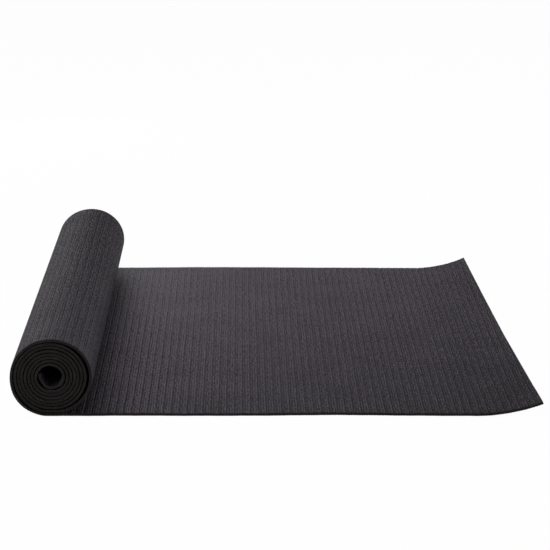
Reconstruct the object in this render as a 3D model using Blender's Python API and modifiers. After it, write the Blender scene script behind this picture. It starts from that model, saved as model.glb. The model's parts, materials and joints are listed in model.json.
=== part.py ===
"""A yoga mat, most of it rolled up, with its free end laid out on the floor.

The mat is a laminate of two foam layers with a woven scrim between them. The rolled part is one
unbroken spiral. The laid part is made of strips, hinged at the lines where the sheet bends, and
its last strips curl up as the free end of a stored mat does.
"""
import math

import bmesh
import bpy
from mathutils import Matrix, Vector

# The sheet, in metres: 24 by 72 inches and 3 mm thick
MAT_WIDTH = 0.610
MAT_LENGTH = 1.829
TOP_FOAM = 0.0011
SCRIM = 0.0002
BOTTOM_FOAM = 0.0011
LAYER_GAP = 0.0003
THICKNESS = TOP_FOAM + SCRIM + BOTTOM_FOAM + 2 * LAYER_GAP

# The roll: how it winds, and how its own weight and stiffness pull it out of round
CORE_RADIUS = 0.0114
TURN_GAP = 0.00047
PRESSED_BELOW = 0.00085
PRESSED_ABOVE = 0.0010
FLATTENING = 0.0005
POINTS_PER_TURN = 24

# The outer turn stands away from the next one low on its outer side and all down its inner side
BULGE_LOW = 0.0012
BULGE_LOW_AT = math.radians(48)
BULGE_LOW_SPAN = math.radians(48)
BULGE_SIDE = 0.0023
BULGE_SIDE_AT = math.radians(265)
BULGE_SIDE_SPAN = math.radians(110)

# The last turn is wound tighter, and its end is less bent than the turns round it
TIGHT_TURN = 0.0008
TIGHT_FROM_END = math.radians(150)
TIGHT_SPAN = math.radians(170)
LIP = 0.0016
LIP_FROM_END = math.radians(45)
LIP_SPAN = math.radians(55)

# The laid sheet, from the roll's lowest line to the free end
ROLL_FOOT = 0.0195
FIRST_STRIP = 0.0232
STRIP_GROWTH = 0.00045
STRIP_COUNT = 13
FLAT_LENGTH = 0.048
CURL_STRIP = 0.020
CURL_COUNT = 4
CURL_ANGLE = math.radians(3.5)
BEND_GAP = 0.0003

PITCH = THICKNESS + TURN_GAP
LAYERS = {
    "top_foam": (TOP_FOAM, (THICKNESS - TOP_FOAM) / 2),
    "scrim": (SCRIM, (BOTTOM_FOAM - TOP_FOAM) / 2),
    "bottom_foam": (BOTTOM_FOAM, (BOTTOM_FOAM - THICKNESS) / 2),
}

COLOURS = {
    "top_foam": ((0.058, 0.053, 0.060), 0.82),
    "scrim": ((0.150, 0.145, 0.140), 0.90),
    "bottom_foam": ((0.052, 0.048, 0.054), 0.86),
}


def strip_lengths():
    """The laid strips that wrap onto the roll; each turn is wider, so each strip is longer."""
    return [FIRST_STRIP + STRIP_GROWTH * i for i in range(STRIP_COUNT)]


def laid_length():
    return ROLL_FOOT + sum(strip_lengths()) + FLAT_LENGTH + CURL_COUNT * CURL_STRIP


def turn_count():
    """Turns of an even spiral from the core out that holds the length that isn't laid."""
    rolled = MAT_LENGTH - laid_length()
    outer = math.sqrt(CORE_RADIUS ** 2 + PITCH * rolled / math.pi)
    return (outer - CORE_RADIUS) / PITCH


TURNS = turn_count()
ROLL_END = 2 * math.pi * TURNS
OUTER_RADIUS = CORE_RADIUS + PITCH * TURNS
AXIS_HEIGHT = THICKNESS / 2 + OUTER_RADIUS - PRESSED_BELOW - FLATTENING


def swell(angle, centre, span):
    """A smooth hump of height 1 at centre, gone at span to either side."""
    share = (angle - centre) / span
    if abs(share) >= 1:
        return 0
    return math.cos(share * math.pi / 2) ** 2


def roll_radius(angle):
    """Radius of the sheet's middle, by angle from the floor, up the side away from the laid sheet."""
    radius = OUTER_RADIUS - PITCH * angle / (2 * math.pi)
    radius -= PRESSED_BELOW * max(0, math.cos(angle)) ** 2
    radius -= PRESSED_ABOVE * max(0, -math.cos(angle)) ** 2
    radius += BULGE_LOW * swell(angle, BULGE_LOW_AT, BULGE_LOW_SPAN)
    radius += BULGE_SIDE * swell(angle, BULGE_SIDE_AT, BULGE_SIDE_SPAN)
    radius -= TIGHT_TURN * swell(angle, ROLL_END - TIGHT_FROM_END, TIGHT_SPAN)
    radius -= LIP * swell(angle, ROLL_END - LIP_FROM_END, LIP_SPAN)
    return radius


def roll_point(angle, offset):
    """A point of the spiral, offset from the sheet's middle towards its top face."""
    radius = roll_radius(angle) - offset
    turn = round(angle / (2 * math.pi))
    resting = THICKNESS / 2 + PITCH * turn + offset
    height = max(AXIS_HEIGHT - radius * math.cos(angle), resting)
    return Vector((-radius * math.sin(angle), 0, height))


def roll_angles():
    """Evenly spaced angles along the spiral, and its inner end."""
    step = 2 * math.pi / POINTS_PER_TURN
    whole = int(ROLL_END / step)
    return [step * i for i in range(whole)] + [ROLL_END]


def distance_to_edge(point, a, b):
    """Distance from a point to the straight edge from a to b."""
    edge = b - a
    share = min(1, max(0, (point - a).dot(edge) / edge.length_squared))
    return (point - (a + edge * share)).length


def layer_points(offset):
    """The line of one layer, seen from its end: its foot on the floor, then the spiral inwards."""
    foot_end = Vector((ROLL_FOOT - BEND_GAP / 2, 0, THICKNESS / 2 + offset))
    return [foot_end] + [roll_point(a, offset) for a in roll_angles()]


def least_gap(inner_face, outer_face):
    """Least distance between a turn's inner face and the outer face of the next turn inwards."""
    inner = layer_points(inner_face)
    outer = layer_points(outer_face)
    reach = POINTS_PER_TURN // 4
    gaps = []
    for i in range(POINTS_PER_TURN - reach, len(outer)):
        facing = inner[max(0, i - POINTS_PER_TURN - reach):i - POINTS_PER_TURN + reach]
        gaps += [distance_to_edge(outer[i], a, b) for a, b in zip(facing, facing[1:])]
    return min(gaps)


def rolled_length():
    points = layer_points(0)[1:]
    return sum((b - a).length for a, b in zip(points, points[1:]))


def clear_scene():
    for obj in list(bpy.data.objects):
        bpy.data.objects.remove(obj, do_unlink=True)


def make_material(name):
    colour, roughness = COLOURS[name]
    material = bpy.data.materials.new(name)
    material.use_nodes = True
    shader = material.node_tree.nodes["Principled BSDF"]
    shader.inputs["Base Color"].default_value = (*colour, 1)
    shader.inputs["Roughness"].default_value = roughness
    shader.inputs["Metallic"].default_value = 0
    return material


def make_frame(name, parent, location, turn=0):
    """An empty on a bend line, which carries the pieces that turn about it."""
    frame = bpy.data.objects.new(name, None)
    frame.empty_display_size = ROLL_FOOT
    frame.parent = parent
    frame.location = location
    frame.rotation_euler.y = turn
    PARTS.objects.link(frame)
    return frame


def add_piece(name, mesh, layer, frame):
    piece = bpy.data.objects.new(name, mesh)
    piece.data.materials.append(MATERIALS[layer])
    piece.parent = frame
    PARTS.objects.link(piece)
    return piece


def make_strip(stem, frame, start, length):
    """The laminate of one strip; its frame lies on the sheet's top face, in the middle of a gap."""
    for layer, (depth, offset) in LAYERS.items():
        size = Vector((length - BEND_GAP, MAT_WIDTH, depth))
        middle = Vector((start + length / 2, 0, offset - THICKNESS / 2))
        block = bmesh.new()
        place = Matrix.Translation(middle) @ Matrix.Diagonal((*size, 1))
        bmesh.ops.create_cube(block, size=1, matrix=place)
        mesh = bpy.data.meshes.new(f"{stem}_{layer}")
        block.to_mesh(mesh)
        block.free()
        add_piece(f"{stem}_{layer}", mesh, layer, frame)


def spiral_curve(name, offset):
    """The middle of one layer of the roll, as a ribbon as wide as the mat."""
    points = layer_points(offset)
    curve = bpy.data.curves.new(name, "CURVE")
    curve.dimensions = "3D"
    curve.extrude = MAT_WIDTH / 2
    spline = curve.splines.new("POLY")
    spline.points.add(len(points) - 1)
    for target, point in zip(spline.points, points):
        target.co = (point.x, point.z, 0, 1)
    return bpy.data.objects.new(name, curve)


def make_roll(frame):
    """Each layer of the roll is a ribbon along its own spiral, with the layer's depth."""
    for layer, (depth, offset) in LAYERS.items():
        ribbon = spiral_curve(f"roll_{layer}_line", offset)
        PARTS.objects.link(ribbon)
        bpy.context.view_layer.update()
        evaluated = ribbon.evaluated_get(bpy.context.evaluated_depsgraph_get())
        mesh = bpy.data.meshes.new_from_object(evaluated)
        bpy.data.objects.remove(ribbon, do_unlink=True)
        mesh.transform(Matrix.Translation((-ROLL_FOOT, 0, -THICKNESS)) @ UPRIGHT)
        piece = add_piece(f"roll_{layer}", mesh, layer, frame)
        solid = piece.modifiers.new("depth", "SOLIDIFY")
        solid.thickness = depth
        solid.offset = 0
        solid.use_even_offset = True


def free_end():
    """How far the curled free end reaches past the flat strip."""
    reach = sum(CURL_STRIP * math.cos(CURL_ANGLE * (k + 1)) for k in range(CURL_COUNT))
    return reach + THICKNESS * math.sin(CURL_ANGLE * CURL_COUNT)


def build_mat():
    """Strips and roll hang on the flat strip, which stays on the floor."""
    bent = sum(strip_lengths())
    right = ROLL_FOOT + bent + FLAT_LENGTH + free_end()
    left = roll_point(math.pi / 2, -THICKNESS / 2).x
    flat_start = ROLL_FOOT + bent - (left + right) / 2
    flat = make_frame("flat_frame", None, (flat_start, 0, THICKNESS))
    make_strip("flat", flat, 0, FLAT_LENGTH)
    frame = make_frame(f"bend_{STRIP_COUNT + 1:02d}_axis", flat, (0, 0, 0))
    for number in range(STRIP_COUNT, 0, -1):
        length = strip_lengths()[number - 1]
        make_strip(f"lay_{number:02d}", frame, -length, length)
        frame = make_frame(f"bend_{number:02d}_axis", frame, (-length, 0, 0))
    make_roll(frame)
    frame = make_frame("curl_01_axis", flat, (FLAT_LENGTH, 0, 0), -CURL_ANGLE)
    for number in range(1, CURL_COUNT + 1):
        make_strip(f"curl_{number:02d}", frame, 0, CURL_STRIP)
        if number < CURL_COUNT:
            name = f"curl_{number + 1:02d}_axis"
            frame = make_frame(name, frame, (CURL_STRIP, 0, 0), -CURL_ANGLE)


clear_scene()
UPRIGHT = Matrix.Rotation(math.pi / 2, 4, "X")
PARTS = bpy.data.collections.new("yoga_mat")
bpy.context.scene.collection.children.link(PARTS)
MATERIALS = {layer: make_material(layer) for layer in LAYERS}
build_mat()
print(f"turns {TURNS:.2f}, sheet in the roll {1000 * rolled_length():.0f} mm,"
      f" laid {1000 * laid_length():.0f} mm")
print(f"least gap between turns of the sheet {1000 * least_gap(THICKNESS / 2, -THICKNESS / 2):.2f} mm")
for layer, (depth, offset) in LAYERS.items():
    gap = least_gap(offset + depth / 2, offset - depth / 2)
    print(f"least gap of {layer} to itself {1000 * gap:.2f} mm")
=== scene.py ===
# A thin foam mat, most of it wound in a roll and its free end laid out on a pale floor
import json
import math

import bpy
import numpy as np
from mathutils import Matrix, Vector


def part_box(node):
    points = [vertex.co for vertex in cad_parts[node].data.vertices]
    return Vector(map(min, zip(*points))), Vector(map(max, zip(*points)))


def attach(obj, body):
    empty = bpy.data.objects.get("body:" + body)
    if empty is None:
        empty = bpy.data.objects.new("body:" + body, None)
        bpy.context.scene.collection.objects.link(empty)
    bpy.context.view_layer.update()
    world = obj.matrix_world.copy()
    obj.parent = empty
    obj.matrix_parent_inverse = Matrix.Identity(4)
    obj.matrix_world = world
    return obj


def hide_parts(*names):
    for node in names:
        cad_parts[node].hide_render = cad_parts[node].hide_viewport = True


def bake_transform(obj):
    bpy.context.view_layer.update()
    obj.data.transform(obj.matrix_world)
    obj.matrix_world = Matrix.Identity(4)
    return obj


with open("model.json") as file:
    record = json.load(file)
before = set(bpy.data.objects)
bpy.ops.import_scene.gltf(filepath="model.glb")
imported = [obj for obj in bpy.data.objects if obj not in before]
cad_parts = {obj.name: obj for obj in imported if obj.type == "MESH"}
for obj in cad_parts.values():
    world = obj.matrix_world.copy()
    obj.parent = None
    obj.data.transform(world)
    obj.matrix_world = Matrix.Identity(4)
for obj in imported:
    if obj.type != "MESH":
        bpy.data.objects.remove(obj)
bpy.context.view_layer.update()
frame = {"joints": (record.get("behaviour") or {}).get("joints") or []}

joints = {joint["name"]: joint for joint in frame["joints"]}
bpy.ops.object.select_all(action="DESELECT")


# The sheet, in metres: two layers of foam with a woven scrim between them
sheet = {
    "length": 1.829,
    "foam": 0.00141,
    "scrim": 0.00014,
    "scrimInset": 0.00012,  # how far the scrim ends inside the cut edges
    "edgeRows": (0, 0.0003, 0.0010, 0.0030),  # how far in from a cut edge the rows of the mesh lie
    "edgeRound": (0.00016, 0.0010),  # height, and how far in from the edge it reaches
    "edgeWander": (0.00018, 0.0030),
    "edgeWaves": ((61, 0, 1), (143, 2, 1), (389, 0, 0.5)),  # rate per metre, start and share
    "shownRows": 21,
    "hiddenRows": 5,
    "sideNormal": 0.5,  # a face is a cut one where its normal leans further than this
    "smoothBelow": math.radians(55),
}
flatLow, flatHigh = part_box("flat_top_foam")
sheet["width"] = flatHigh.y - flatLow.y
sheet["thickness"] = flatHigh.z

# The ribs that run across the mat on both faces, in groups of three
ribs = {
    "pitch": 0.00265,
    "perGroup": 3,
    "groove": (0.00025, 0.00065),  # depth, and reach to either side
    "groupGroove": {"top": (0.00050, 0.00100), "bottom": (0.00027, 0.00070)},
    "sharpness": 1.3,
    "columns": 8,  # of the mesh, in each rib
    "bottomShift": 0.00110,
}
ribs["group"] = ribs["pitch"] * ribs["perGroup"]

# The roll: how it winds, and how its weight and its stiffness pull it out of round
roll = {
    "coreRadius": 0.0114,
    "turnGap": 0.00047,
    "foot": 0.0195,  # from its lowest line to the first hinge of the laid sheet
    "pressedBelow": 0.00085,
    "pressedAbove": 0.0010,
    "flattening": 0.0005,
    "bulgeLow": (0.0012, math.radians(48), math.radians(48)),  # height, centre and span
    "bulgeSide": (0.0023, math.radians(265), math.radians(110)),
    "tightTurn": (0.0008, math.radians(150), math.radians(170)),  # these two from the inner end
    "lip": (0.0016, math.radians(45), math.radians(55)),
    "uneven": 0.00012,
    "unevenWaves": ((1.31, 0, 1), (2.17, 1, 0.6)),  # rate, start and share
    "telescope": (0.0005, 9, 0.2),  # how far the turns slide out, rate, and where it is at its full
    "outerTurns": 1.25,  # in the outer one of the roll's two pieces
    "steps": 8000,  # points on the spiral
}
roll["pitch"] = sheet["thickness"] + roll["turnGap"]
roll["x"] = joints["bend_01"]["pos_m"][0] - roll["foot"]

# The free end: a skewed cut that curls up, its corners more than its middle
freeEnd = {
    "near": 0.4921,
    "far": 0.4753,
    "curled": 0.0675,  # length of the part that curls
    "nearBend": 5.3,  # turn per metre, in radians
    "farBend": 6.3,
    "middleBend": 3.4,
    "pull": (0.0016, 0.160, 0.080),  # how much further the near corner reaches, its width and length
    "stripLength": 0.020,
    "strips": 4,
    "cutThreshold": 1e-7,
}

# How far the two long edges of the laid sheet stand off the floor: height, centre and span
waves = {
    "near": ((0.00020, 0.100, 0.120), (0.00085, 0.285, 0.120)),
    "far": ((0.00105, 0.170, 0.200), (0.00040, 0.340, 0.120)),
    "reach": 0.150,
}


def foldEnd():
    # arc length from the roll's lowest line to the end of the last curled strip
    return joints["free_end_curl"]["pos_m"][0] - roll["x"] + freeEnd["stripLength"] * freeEnd["strips"]


roll["wound"] = sheet["length"] - foldEnd()
roll["outerRadius"] = math.sqrt(roll["coreRadius"] ** 2 + roll["pitch"] * roll["wound"] / math.pi)
roll["end"] = 2 * math.pi * (roll["outerRadius"] - roll["coreRadius"]) / roll["pitch"]
roll["height"] = sheet["thickness"] / 2 + roll["outerRadius"] - roll["pressedBelow"] - roll["flattening"]


def swell(place, centre, span):
    # a smooth hump of height 1 at centre, gone at span to either side
    share = (place - centre) / span
    return np.where(np.abs(share) < 1, np.cos(share * math.pi / 2) ** 2, 0)


def ripple(place, parts):
    # a sum of sines, each with its rate, start and share
    return sum(share * np.sin(rate * place + start) for rate, start, share in parts)


def spiralRadius(angle):
    # radius of the sheet's middle, by angle from the floor, up the side away from the laid sheet
    radius = roll["outerRadius"] - roll["pitch"] * angle / (2 * math.pi)
    radius -= roll["pressedBelow"] * np.maximum(0, np.cos(angle)) ** 2
    radius -= roll["pressedAbove"] * np.maximum(0, -np.cos(angle)) ** 2
    for height, centre, span in (roll["bulgeLow"], roll["bulgeSide"]):
        radius += height * swell(angle, centre, span)
    for height, fromEnd, span in (roll["tightTurn"], roll["lip"]):
        radius -= height * swell(angle, roll["end"] - fromEnd, span)
    return radius + roll["uneven"] * ripple(angle, roll["unevenWaves"]) * np.minimum(1, angle / math.pi)


def spiralPlace(angle, offset):
    # x and z of the spiral, offset from the sheet's middle towards its top face
    radius = spiralRadius(angle) - offset
    resting = sheet["thickness"] / 2 + roll["pitch"] * np.round(angle / (2 * math.pi)) + offset
    height = np.maximum(roll["height"] - radius * np.cos(angle), resting)
    return roll["x"] - radius * np.sin(angle), height


spiralAngles = np.linspace(0, roll["end"], roll["steps"])
spiralX, spiralZ = spiralPlace(spiralAngles, 0)
spiralSteps = np.hypot(np.diff(spiralX), np.diff(spiralZ))
spiralLengths = np.concatenate([[0], np.cumsum(spiralSteps)])
roll["start"] = -spiralLengths[-1]


def endAt(across):
    # where the sheet's free end is cut, by place across the mat
    share = across / sheet["width"] + 0.5
    return freeEnd["near"] + (freeEnd["far"] - freeEnd["near"]) * share


def liftAt(along, across):
    # height of the laid sheet's underside, from the waves of its two long edges
    fromNear = (across + sheet["width"] / 2) / waves["reach"]
    fromFar = (sheet["width"] / 2 - across) / waves["reach"]
    near = sum(height * swell(along, centre, span) for height, centre, span in waves["near"])
    far = sum(height * swell(along, centre, span) for height, centre, span in waves["far"])
    return near * swell(fromNear, 0, 1) + far * swell(fromFar, 0, 1)


def bendSheet(flat):
    # takes points of the flat sheet (along, across, height in the sheet) to where they lie on the mat
    along, across, inside = flat[:, 0], flat[:, 1], flat[:, 2]
    angle = np.interp(-along, spiralLengths, spiralAngles)
    woundX, woundZ = spiralPlace(angle, inside - sheet["thickness"] / 2)
    corner = np.abs(2 * across / sheet["width"]) ** 2
    cornerBend = np.where(across < 0, freeEnd["nearBend"], freeEnd["farBend"])
    bend = freeEnd["middleBend"] + (cornerBend - freeEnd["middleBend"]) * corner
    pull, width, length = freeEnd["pull"]
    pulled = swell(across, -sheet["width"] / 2, width) * swell(along, freeEnd["near"], length)
    along = along + pull * pulled
    curlStart = endAt(across) - freeEnd["curled"]
    turned = np.maximum(0, along - curlStart) * bend
    laidX = np.minimum(along, curlStart) + np.sin(turned) / bend - inside * np.sin(turned)
    laidZ = (1 - np.cos(turned)) / bend + inside * np.cos(turned) + liftAt(along, across)
    wound = along < 0
    x = np.where(wound, woundX, roll["x"] + laidX)
    z = np.where(wound, woundZ, laidZ)
    reach, rate, growth = roll["telescope"]
    slide = reach * np.sin(rate * along) * np.minimum(1, np.maximum(0, -along) / growth)
    return np.stack([x, across + slide, z], axis=1)


def grooveDepth(along, side):
    # depth of the grooves between ribs: every third one is deeper and wider
    number = np.round(along / ribs["pitch"])
    fromGroove = np.abs(along - number * ribs["pitch"])
    group = number % ribs["perGroup"] == 0
    depth = np.where(group, ribs["groupGroove"][side][0], ribs["groove"][0])
    reach = np.where(group, ribs["groupGroove"][side][1], ribs["groove"][1])
    return depth * np.maximum(0, 1 - fromGroove / reach) ** ribs["sharpness"]


def acrossRows(count):
    # places of the mesh rows across the mat, close together at the two cut edges
    half = sheet["width"] / 2
    outer = [half - inset for inset in sheet["edgeRows"]]
    inner = np.linspace(-outer[-1], outer[-1], count)[1:-1]
    return np.array([-y for y in outer] + list(inner) + outer[::-1])


def readPoints(piece):
    points = np.empty(len(piece.data.vertices) * 3)
    piece.data.vertices.foreach_get("co", points)
    return points.reshape(-1, 3)


def writePoints(piece, points):
    piece.data.vertices.foreach_set("co", points.ravel())
    piece.data.update()


def flatSlab(name, start, end, columns, rows, low, high):
    # a slab of the flat sheet: a grid as long and wide as the piece, extruded to its depth
    bpy.ops.object.select_all(action="DESELECT")
    bpy.ops.mesh.primitive_grid_add(x_subdivisions=columns, y_subdivisions=len(rows) - 1, size=1)
    piece = bpy.context.active_object
    piece.name = name
    piece.data.name = name
    bpy.ops.object.mode_set(mode="EDIT")
    bpy.ops.mesh.select_all(action="SELECT")
    bpy.ops.mesh.extrude_region_move(TRANSFORM_OT_translate={"value": (0, 0, -1)})
    bpy.ops.object.mode_set(mode="OBJECT")
    points = readPoints(piece)
    points[:, 0] = start + (end - start) * (points[:, 0] + 0.5)
    points[:, 1] = np.interp(points[:, 1] + 0.5, np.linspace(0, 1, len(rows)), rows)
    points[:, 2] = high + (high - low) * points[:, 2]
    writePoints(piece, points)
    return piece


def cutFreeEnd():
    # cuts the active piece, still flat, along the skewed line of the free end
    middle = (freeEnd["near"] + freeEnd["far"]) / 2
    skew = freeEnd["near"] - freeEnd["far"]
    bpy.ops.object.mode_set(mode="EDIT")
    bpy.ops.mesh.select_all(action="SELECT")
    bpy.ops.mesh.bisect(plane_co=(middle, 0, 0), plane_no=(sheet["width"], skew, 0), use_fill=True,
                        clear_outer=True, threshold=freeEnd["cutThreshold"])
    bpy.ops.object.mode_set(mode="OBJECT")


def rimAndUv(piece):
    # cut faces take the second material; the UV map is the flat sheet itself, in metres
    mesh = piece.data
    normals = np.empty(len(mesh.polygons) * 3)
    mesh.polygons.foreach_get("normal", normals)
    normals = np.abs(normals.reshape(-1, 3))
    cut = normals[:, 2] < sheet["sideNormal"]
    mesh.polygons.foreach_set("material_index", cut.astype(np.int32))
    corners = np.empty(len(mesh.loops), np.int32)
    mesh.loops.foreach_get("vertex_index", corners)
    faceSizes = np.empty(len(mesh.polygons), np.int32)
    mesh.polygons.foreach_get("loop_total", faceSizes)
    faceOf = np.repeat(np.arange(len(mesh.polygons)), faceSizes)
    flat = readPoints(piece)[corners]
    endFace = normals[faceOf, 0] > sheet["sideNormal"]
    sideFace = normals[faceOf, 1] > sheet["sideNormal"]
    uv = np.stack([flat[:, 0] + endFace * flat[:, 2], flat[:, 1] + sideFace * flat[:, 2]], axis=1)
    mesh.uv_layers.active.data.foreach_set("uv", uv.ravel())


def shapeFoam(piece, top):
    # cuts the grooves in the outer face, rounds the cut edges a little and lets them wander
    points = readPoints(piece)
    along, across = points[:, 0], points[:, 1]
    middle = sheet["thickness"] / 2
    outerFace = np.abs(points[:, 2] - middle) > middle - sheet["scrim"]
    fromEdge = sheet["width"] / 2 - np.abs(across)
    height, reach = sheet["edgeRound"]
    worn = height * swell(fromEdge, 0, reach)
    depth = grooveDepth(along, "top") if top else grooveDepth(along + ribs["bottomShift"], "bottom")
    depth = depth + worn
    points[:, 2] += np.where(outerFace, -depth if top else depth, 0)
    height, reach = sheet["edgeWander"]
    wander = ripple(along, sheet["edgeWaves"])
    points[:, 1] += np.sign(across) * height * wander * swell(fromEdge, 0, reach)
    writePoints(piece, points)


def finishSheet(piece, finishes):
    # bends the flat piece into its place, and gives it its materials and its smooth shading
    writePoints(piece, bendSheet(readPoints(piece)))
    for material in finishes:
        piece.data.materials.append(material)
    bpy.ops.object.select_all(action="DESELECT")
    piece.select_set(True)
    bpy.context.view_layer.objects.active = piece
    bpy.ops.object.shade_smooth_by_angle(angle=sheet["smoothBelow"])
    return piece


def nearestGroove(along):
    return round(along / ribs["group"]) * ribs["group"]


def divide():
    # where the mat is divided: at a deep groove near the middle of each body that moves
    bends = sorted(name for name in joints if name.startswith("bend_"))
    hinges = [joints[name]["pos_m"][0] - roll["x"] for name in bends]
    hinges += [joints["free_end_curl"]["pos_m"][0] - roll["x"]]
    hinges += [hinges[-1] + freeEnd["stripLength"] * n for n in range(1, freeEnd["strips"])]
    bodies = ["roll"] + [f"lay_{n:02d}" for n in range(1, len(bends))] + ["flat"]
    bodies += [f"curl_{n:02d}" for n in range(1, freeEnd["strips"] + 1)]
    names = bends + [f"end_{n:02d}" for n in range(1, freeEnd["strips"] + 1)]
    middles = [(a + b) / 2 for a, b in zip(hinges, hinges[1:])]
    cuts = [nearestGroove(hinges[0] / 2)] + [nearestGroove(middle) for middle in middles]
    cuts.append(freeEnd["near"])
    outerStart = -np.interp(2 * math.pi * roll["outerTurns"], spiralAngles, spiralLengths)
    outerStart = nearestGroove(outerStart)
    spans = [("wound_inner", roll["start"], outerStart, ["roll"], None),
             ("wound_outer", outerStart, cuts[0], ["roll"], None)]
    for number, hinge in enumerate(hinges):
        pair = [bodies[number + 1], bodies[number]]
        spans.append((names[number], cuts[number], cuts[number + 1], pair, hinge))
    return spans


class Wire:  # a shader socket that can stand in sums
    def __init__(self, tree, socket=None):
        self.tree = tree
        self.socket = socket

    def node(self, kind, settings=None, sockets=None, output=0):
        made = self.tree.nodes.new(kind)
        for name, value in (settings or {}).items():
            setattr(made, name, value)
        for key, value in (sockets or {}).items():
            if isinstance(value, Wire):
                self.tree.links.new(value.socket, made.inputs[key])
            else:
                made.inputs[key].default_value = value
        return Wire(self.tree, made.outputs[output] if made.outputs else None)

    def maths(self, operation, first, second=0.0, clamp=False):
        settings = {"operation": operation, "use_clamp": clamp}
        return self.node("ShaderNodeMath", settings, {0: first, 1: second})

    def __add__(self, other):
        return self.maths("ADD", self, other)

    def __sub__(self, other):
        return self.maths("SUBTRACT", self, other)

    def __rsub__(self, other):
        return self.maths("SUBTRACT", other, self)

    def __mul__(self, other):
        return self.maths("MULTIPLY", self, other)

    def __truediv__(self, other):
        return self.maths("DIVIDE", self, other)

    def __pow__(self, other):
        return self.maths("POWER", self, other)

    __radd__ = __add__
    __rmul__ = __mul__

    def clamped(self):
        return self.maths("ADD", self, 0.0, clamp=True)

    def mixed(self, first, second):
        return self.node("ShaderNodeMix", {"data_type": "RGBA"}, {0: self, 6: first, 7: second}, 2)


def millimetres(tree):
    # the sheet's own coordinates from the UV map: along the mat and across it, in millimetres
    wire = Wire(tree)
    uv = wire.node("ShaderNodeUVMap", {"uv_map": "UVMap"})
    along = wire.node("ShaderNodeSeparateXYZ", None, {0: uv})
    across = Wire(tree, along.socket.node.outputs[1])
    return along * 1000, across * 1000


def noise(along, across, size, detail=2.0, shift=0.0):
    # smooth noise from -0.5 to 0.5 with cells of the given size along and across, in millimetres
    place = along.node("ShaderNodeCombineXYZ", None, {0: along / size[0] + shift, 1: across / size[1]})
    sockets = {"Vector": place, "Scale": 1.0, "Detail": detail}
    return along.node("ShaderNodeTexNoise", {"noise_dimensions": "2D"}, sockets) - 0.5


def grooveMask(along, period, power):
    # 1 along each groove, 0 on the ribs between
    turns = along * (2 * math.pi / period)
    return (turns.maths("COSINE", turns) * 0.5 + 0.5) ** power


def bumped(height, distance):
    return height.node("ShaderNodeBump", None, {"Strength": 1.0, "Distance": distance, "Height": height})


def newMaterial(name, specular):
    material = bpy.data.materials.new(name)
    material.use_nodes = True
    shader = material.node_tree.nodes["Principled BSDF"]
    shader.inputs["Specular IOR Level"].default_value = specular
    return material, shader


def feed(shader, **wires):
    for name, wire in wires.items():
        wire.tree.links.new(wire.socket, shader.inputs[name.replace("_", " ")])


# The ribbed foam face, in linear colour; sizes in millimetres. A face's tone is a share from dark to light
foam = {
    "dark": (0.0030, 0.0025, 0.0034, 1),
    "top": {
        "light": (0.0800, 0.0665, 0.0862, 1),
        "specular": 0.022,
        "shift": 0,
        "drift": (0.0005, -0.0007),  # painted light: gain of tone per mm across and along, lighter towards the far edge and darker further along
        # painted shade in the deep grooves
        "groupMark": 0.32,
    },
    "bottom": {
        "light": (0.0605, 0.0529, 0.0642, 1),
        "specular": 0.0060,
        "shift": 1000 * ribs["bottomShift"],
        # painted light: on this face the tone falls from the near edge to the far one
        "drift": (-0.0007, 0),
        # painted shade in the deep grooves
        "groupMark": 0.20,
    },
    "tone": 0.55,
    "toneFrom": 250,  # where along the mat the painted light gradient starts
    "cells": (0.88, 0.0010),  # strength of the patterns on the middle line, and its gain per mm across
    "mottle": {"size": (45, 60), "detail": 3.0, "tone": 0.3},
    "wobble": (9, 7),  # size of the noise that bends the marks of the grooves
    "wobbleReach": 0.30,
    # painted shade in the fine grooves
    "fineMark": 0.36,
    "fineHeight": 0.15,
    "slopeMark": 0.32,  # painted shading: the tone rises from one deep groove to the next, as light falls on a sloping face
    "sharpness": (3, 10),  # of the masks of the fine grooves and of the deep ones, which darken them with painted shade
    "roughness": (0.58, 0.44),  # in the grooves, and on the crests
    "bump": 0.00030,
}

# The foam's patterns, each with its share of the tone and of the height
foamCells = {
    "thread": {"size": (1.9, 11.0), "detail": 1.0, "shift": 3, "tone": 1.0, "height": 0},
    "streak": {"size": (1.5, 3.8), "detail": 1.0, "shift": 0, "tone": 2.0, "height": 0.8},
    "spot": {"size": (1.4, 2.2), "detail": 1.0, "shift": 7, "tone": 3.0, "height": 0.6},
    "grain": {"size": (0.35, 0.5), "detail": 2.0, "shift": 0, "tone": 0.8, "height": 0.3},
}


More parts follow.
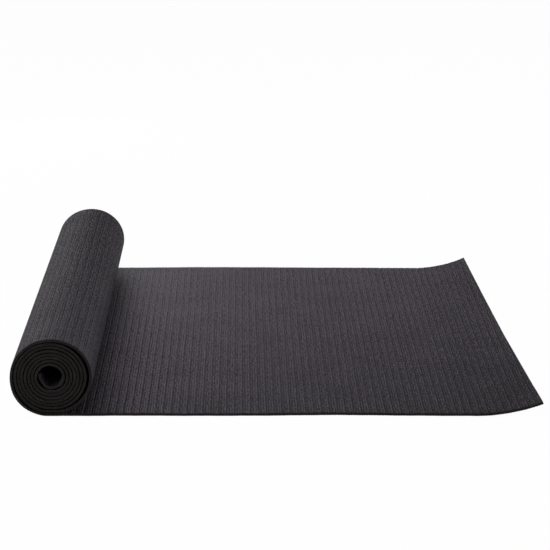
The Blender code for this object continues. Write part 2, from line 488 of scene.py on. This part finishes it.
def foamMaterial(side):
    face = foam[side]
    material, shader = newMaterial(f"ribbed_foam_{side}", face["specular"])
    along, across = millimetres(material.node_tree)
    groovePlace = along + face["shift"] + noise(along, across, foam["wobble"]) * foam["wobbleReach"]
    fine = grooveMask(groovePlace, 1000 * ribs["pitch"], foam["sharpness"][0])
    deep = grooveMask(groovePlace, 1000 * ribs["group"], foam["sharpness"][1])
    # painted shading of the ribs' slope: a ramp from each deep groove to the next
    groups = groovePlace / (1000 * ribs["group"])
    slopeShade = groups.maths("FRACT", groups) - 0.5
    mottle = noise(along, across, foam["mottle"]["size"], foam["mottle"]["detail"], face["shift"])
    cells = 0
    height = 0
    for pattern in foamCells.values():
        cell = noise(along, across, pattern["size"], pattern["detail"], face["shift"] + pattern["shift"])
        cells = cell * pattern["tone"] + cells
        if pattern["height"]:
            height = cell * pattern["height"] + height
    # painted light and shade: the tone rises and falls across and along the mat
    paintedLightAcross, paintedLightAlong = face["drift"]
    tone = foam["tone"] + across * paintedLightAcross + (along - foam["toneFrom"]) * paintedLightAlong
    strength, strengthGain = foam["cells"]
    tone = tone + cells * (strength + across * strengthGain) + mottle * foam["mottle"]["tone"]
    # painted shade: darker in the fine and the deep grooves, with the painted slope shading across each
    # group
    tone = tone + slopeShade * foam["slopeMark"] - fine * foam["fineMark"] - deep * face["groupMark"]
    tone = tone.clamped()
    rough, smooth = foam["roughness"]
    feed(shader, Base_Color=tone.mixed(foam["dark"], face["light"]),
         Roughness=rough - tone * (rough - smooth),
         Normal=bumped(height - fine * foam["fineHeight"], foam["bump"]))
    return material


# The cut foam of the edges: browner and darker, with the pores cut open
cutFoam = {
    "dark": (0.011, 0.0103, 0.0097, 1),
    "light": (0.060, 0.0548, 0.0508, 1),
    "tone": 0.15,
    "pores": {"size": 0.30, "tone": 0.6, "height": 0.7, "roughness": 0.1},
    "drawn": {"size": (0.6, 0.25), "tone": 0.5, "height": 0.5},  # the marks that the knife drew
    "patches": {"size": (14, 14), "tone": 0.5},
    "roughness": 0.88,
    "specular": 0.08,
    "bump": 0.00012,
}


def cutFoamMaterial():
    material, shader = newMaterial("cut_foam", cutFoam["specular"])
    along, across = millimetres(material.node_tree)
    pore, drawn, patch = cutFoam["pores"], cutFoam["drawn"], cutFoam["patches"]
    place = along.node("ShaderNodeCombineXYZ", None, {0: along / pore["size"], 1: across / pore["size"]})
    settings = {"voronoi_dimensions": "2D"}
    pores = along.node("ShaderNodeTexVoronoi", settings, {"Vector": place, "Scale": 1.0})
    marks = noise(along, across, drawn["size"])
    patches = noise(along, across, patch["size"])
    tone = cutFoam["tone"] + pores * pore["tone"] + marks * drawn["tone"] + patches * patch["tone"]
    height = pores * pore["height"] + marks * drawn["height"]
    feed(shader, Base_Color=tone.clamped().mixed(cutFoam["dark"], cutFoam["light"]),
         Roughness=cutFoam["roughness"] - pores * pore["roughness"],
         Normal=bumped(height, cutFoam["bump"]))
    return material


# The scrim: an open plain weave of polyester yarn, sunk in the foam
scrim = {
    "gap": (0.010, 0.0095, 0.0090, 1),
    "yarn": (0.060, 0.057, 0.054, 1),
    "mesh": 1.4,
    "fibre": {"size": (0.12, 0.12), "tone": 0.4, "height": 0.3, "roughness": 0.2},
    "roughness": 0.75,
    "specular": 0.25,
    "bump": 0.00008,
}


def scrimMaterial():
    material, shader = newMaterial("woven_scrim", scrim["specular"])
    along, across = millimetres(material.node_tree)
    warp = 1 - grooveMask(along, scrim["mesh"], 1)
    weft = 1 - grooveMask(across, scrim["mesh"], 1)
    yarn = warp.maths("MAXIMUM", warp, weft)
    fibre = scrim["fibre"]
    fibres = noise(along, across, fibre["size"])
    colour = (yarn + fibres * fibre["tone"]).clamped().mixed(scrim["gap"], scrim["yarn"])
    feed(shader, Base_Color=colour, Roughness=scrim["roughness"] + fibres * fibre["roughness"],
         Normal=bumped(yarn + fibres * fibre["height"], scrim["bump"]))
    return material


# The materials of each layer: of its faces, and of its cut edges
materials = {
    "top_foam": [foamMaterial("top")],
    "bottom_foam": [foamMaterial("bottom")],
    "scrim": [scrimMaterial()],
}
materials["top_foam"].append(cutFoamMaterial())
materials["bottom_foam"].append(materials["top_foam"][1])
print("materials made")


def layerHeights(layer):
    # where a layer's two faces lie above the sheet's underside
    middle = sheet["thickness"] / 2
    half = sheet["scrim"] / 2
    if layer == "top_foam":
        return sheet["thickness"] - sheet["foam"], sheet["thickness"]
    if layer == "bottom_foam":
        return 0, sheet["foam"]
    return middle - half, middle + half


def makeLayer(layer, name, start, end, rows):
    low, high = layerHeights(layer)
    columnLength = ribs["pitch"] / ribs["columns"]
    if layer == "scrim":
        columnLength = ribs["pitch"]
        rows = rows * (1 - 2 * sheet["scrimInset"] / sheet["width"])
    columns = round((end - start) / columnLength)
    piece = flatSlab(f"{layer}_{name}", start, end, columns, rows, low, high)
    if end == freeEnd["near"]:
        cutFreeEnd()
    rimAndUv(piece)
    if layer != "scrim":
        shapeFoam(piece, layer == "top_foam")
    return finishSheet(piece, materials[layer])


def moveWith(piece, bodies, hinge, start, end):
    # a piece of the roll rides on its body; for the others the reach to either side of the hinge is worked
    # out, and their placing is baked into the mesh
    if hinge is None:
        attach(piece, bodies[0])
        return
    reach = min(hinge - start, end - hinge, freeEnd["stripLength"] / 2 + ribs["pitch"])
    outward = (roll["x"] + hinge + reach, 0, 0)
    inward = (roll["x"] + hinge - reach, 0, 0)
    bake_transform(piece)


def makeMat():
    for name, start, end, bodies, hinge in divide():
        rows = acrossRows(sheet["hiddenRows"] if name == "wound_inner" else sheet["shownRows"])
        for layer in ("top_foam", "scrim", "bottom_foam"):
            piece = makeLayer(layer, name, start, end, rows)
            moveWith(piece, bodies, hinge, start, end)
            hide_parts(f"{bodies[0]}_{layer}")
            float(end - start)
    print("mat made")


makeMat()


# The floor and the light of a plain studio
studio = {
    "floorSize": 14,
    "floorDrop": 0.0002,
    "floorColour": (0.85, 0.85, 0.85, 1),
    "shadowShare": 0.02,
    "white": (1, 1, 1, 1),
    "worldLight": 0.06,
}

lamps = {
    "overhead": {"at": (-0.8, 0, 2.0), "size": (1.0, 1.6), "power": 25},
    "overhead, behind": {"at": (-0.7, 0.9, 1.7), "size": (1.0, 1.0), "power": 3.2},
    "behind the roll": {"at": (-0.6, 1.3, 0.3), "size": (0.8, 0.4), "power": 2.6},
    "before the roll": {"at": (-1.6, -1.2, 0.5), "size": (1.0, 0.8), "power": 3.9},
    "right": {"at": (1.9, 0.9, 0.35), "size": (1.2, 0.5), "power": 31},
}


def seenDirectly(wire):
    # 1 where the camera, a gloss or a glass looks at a surface, 0 for the light that it throws
    path = wire.node("ShaderNodeLightPath").socket.node.outputs
    camera = Wire(wire.tree, path["Is Camera Ray"])
    glossy = Wire(wire.tree, path["Is Glossy Ray"])
    glass = Wire(wire.tree, path["Is Transmission Ray"])
    return (camera + glossy + glass).clamped()


def makeFloor():
    bpy.ops.object.select_all(action="DESELECT")
    bpy.ops.mesh.primitive_plane_add(size=studio["floorSize"], location=(0, 0, -studio["floorDrop"]))
    floor = bpy.context.active_object
    floor.name = "floor"
    material = bpy.data.materials.new("pale_floor")
    material.use_nodes = True
    tree = material.node_tree
    tree.nodes.clear()
    wire = Wire(tree)
    matt = wire.node("ShaderNodeBsdfDiffuse", None, {"Color": studio["floorColour"]})
    bright = wire.node("ShaderNodeEmission", None, {"Color": studio["white"], "Strength": 1.0})
    share = seenDirectly(wire) * (1 - studio["shadowShare"])
    mixed = wire.node("ShaderNodeMixShader", None, {0: share, 1: matt, 2: bright})
    wire.node("ShaderNodeOutputMaterial", None, {"Surface": mixed})
    floor.data.materials.append(material)


def makeWorld():
    world = bpy.data.worlds.new("studio")
    bpy.context.scene.world = world
    world.use_nodes = True
    tree = world.node_tree
    tree.nodes.clear()
    wire = Wire(tree)
    light, white = [
        wire.node("ShaderNodeBackground", None, {"Color": studio["white"], "Strength": strength})
        for strength in (studio["worldLight"], 1.0)
    ]
    mixed = wire.node("ShaderNodeMixShader", None, {0: seenDirectly(wire), 1: light, 2: white})
    wire.node("ShaderNodeOutputWorld", None, {"Surface": mixed})


def makeLamps():
    # each lamp is aimed at the middle of the mat
    for name, lamp in lamps.items():
        light = bpy.data.lights.new(name, "AREA")
        light.shape = "RECTANGLE"
        light.size, light.size_y = lamp["size"]
        light.energy = lamp["power"]
        holder = bpy.data.objects.new(name, light)
        bpy.context.scene.collection.objects.link(holder)
        holder.location = lamp["at"]
        holder.rotation_euler = (-Vector(lamp["at"])).to_track_quat("-Z", "Y").to_euler()


# The camera where the photograph was taken from, with the picture's own frame
shot = {
    "at": (-0.03217, -2.38017, 0.66249),
    "yaw": 0.01600,
    "pitch": 0.24414,
    "roll": 0.00480,
    "focalPixels": 2174.52,
    "framePixels": 550,
}


def makeCamera():
    camera = bpy.data.cameras.new("camera")
    camera.lens = camera.sensor_width * shot["focalPixels"] / shot["framePixels"]
    holder = bpy.data.objects.new("camera", camera)
    bpy.context.scene.collection.objects.link(holder)
    turn = Matrix.Rotation(-shot["yaw"], 4, "Z") @ Matrix.Rotation(math.pi / 2 - shot["pitch"], 4, "X")
    turn = turn @ Matrix.Rotation(shot["roll"], 4, "Z")
    holder.matrix_world = Matrix.Translation(shot["at"]) @ turn
    bpy.context.scene.camera = holder


makeFloor()
makeWorld()
makeLamps()
makeCamera()
bpy.context.scene.view_settings.view_transform = "Standard"
print("studio made")
